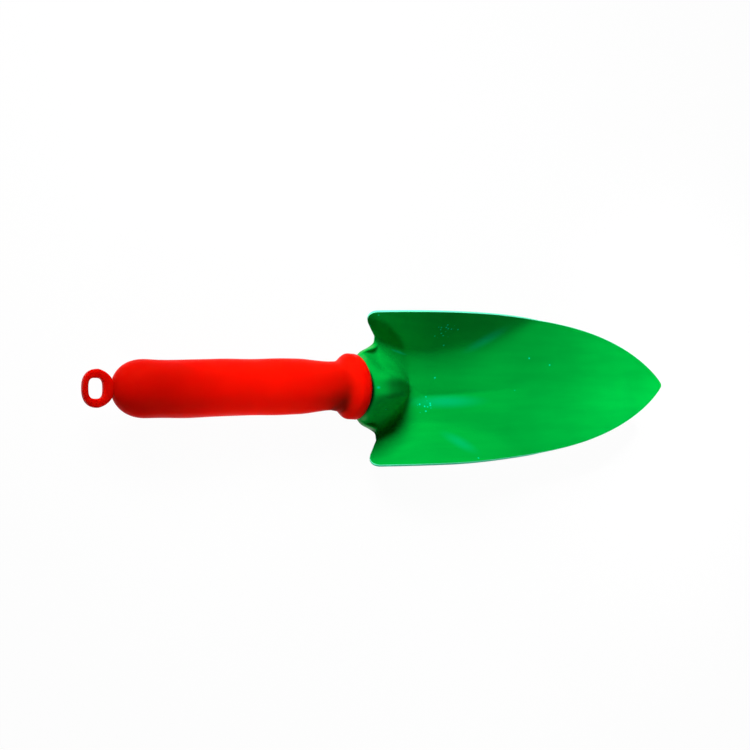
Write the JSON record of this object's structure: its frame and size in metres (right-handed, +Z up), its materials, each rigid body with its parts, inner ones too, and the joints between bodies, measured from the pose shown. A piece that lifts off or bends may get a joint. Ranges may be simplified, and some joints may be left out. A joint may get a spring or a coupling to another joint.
{
  "type": "garden trowel",
  "caption": "Hand trowel with a green pressed steel scoop blade on a rolled tang and a red moulded sleeve grip with a flared collar and a slotted hang eye.",
  "frame": {"origin": "middle of the outline in plan, at the level of the lowest points, which are the grip's collar and the blade's heel", "axes": "+X from the hang eye to the blade's tip, +Z up out of the scoop, and the trowel is mirrored about the XZ plane"},
  "size_m": [0.3042, 0.0744, 0.0344],
  "materials": {
    "blade": "green paint, satin gloss",
    "grip": "red soft moulded plastic, satin"
  },
  "bodies": {
    "root": {"blade": "blade", "grip": "grip"}
  },
  "joints": []
}
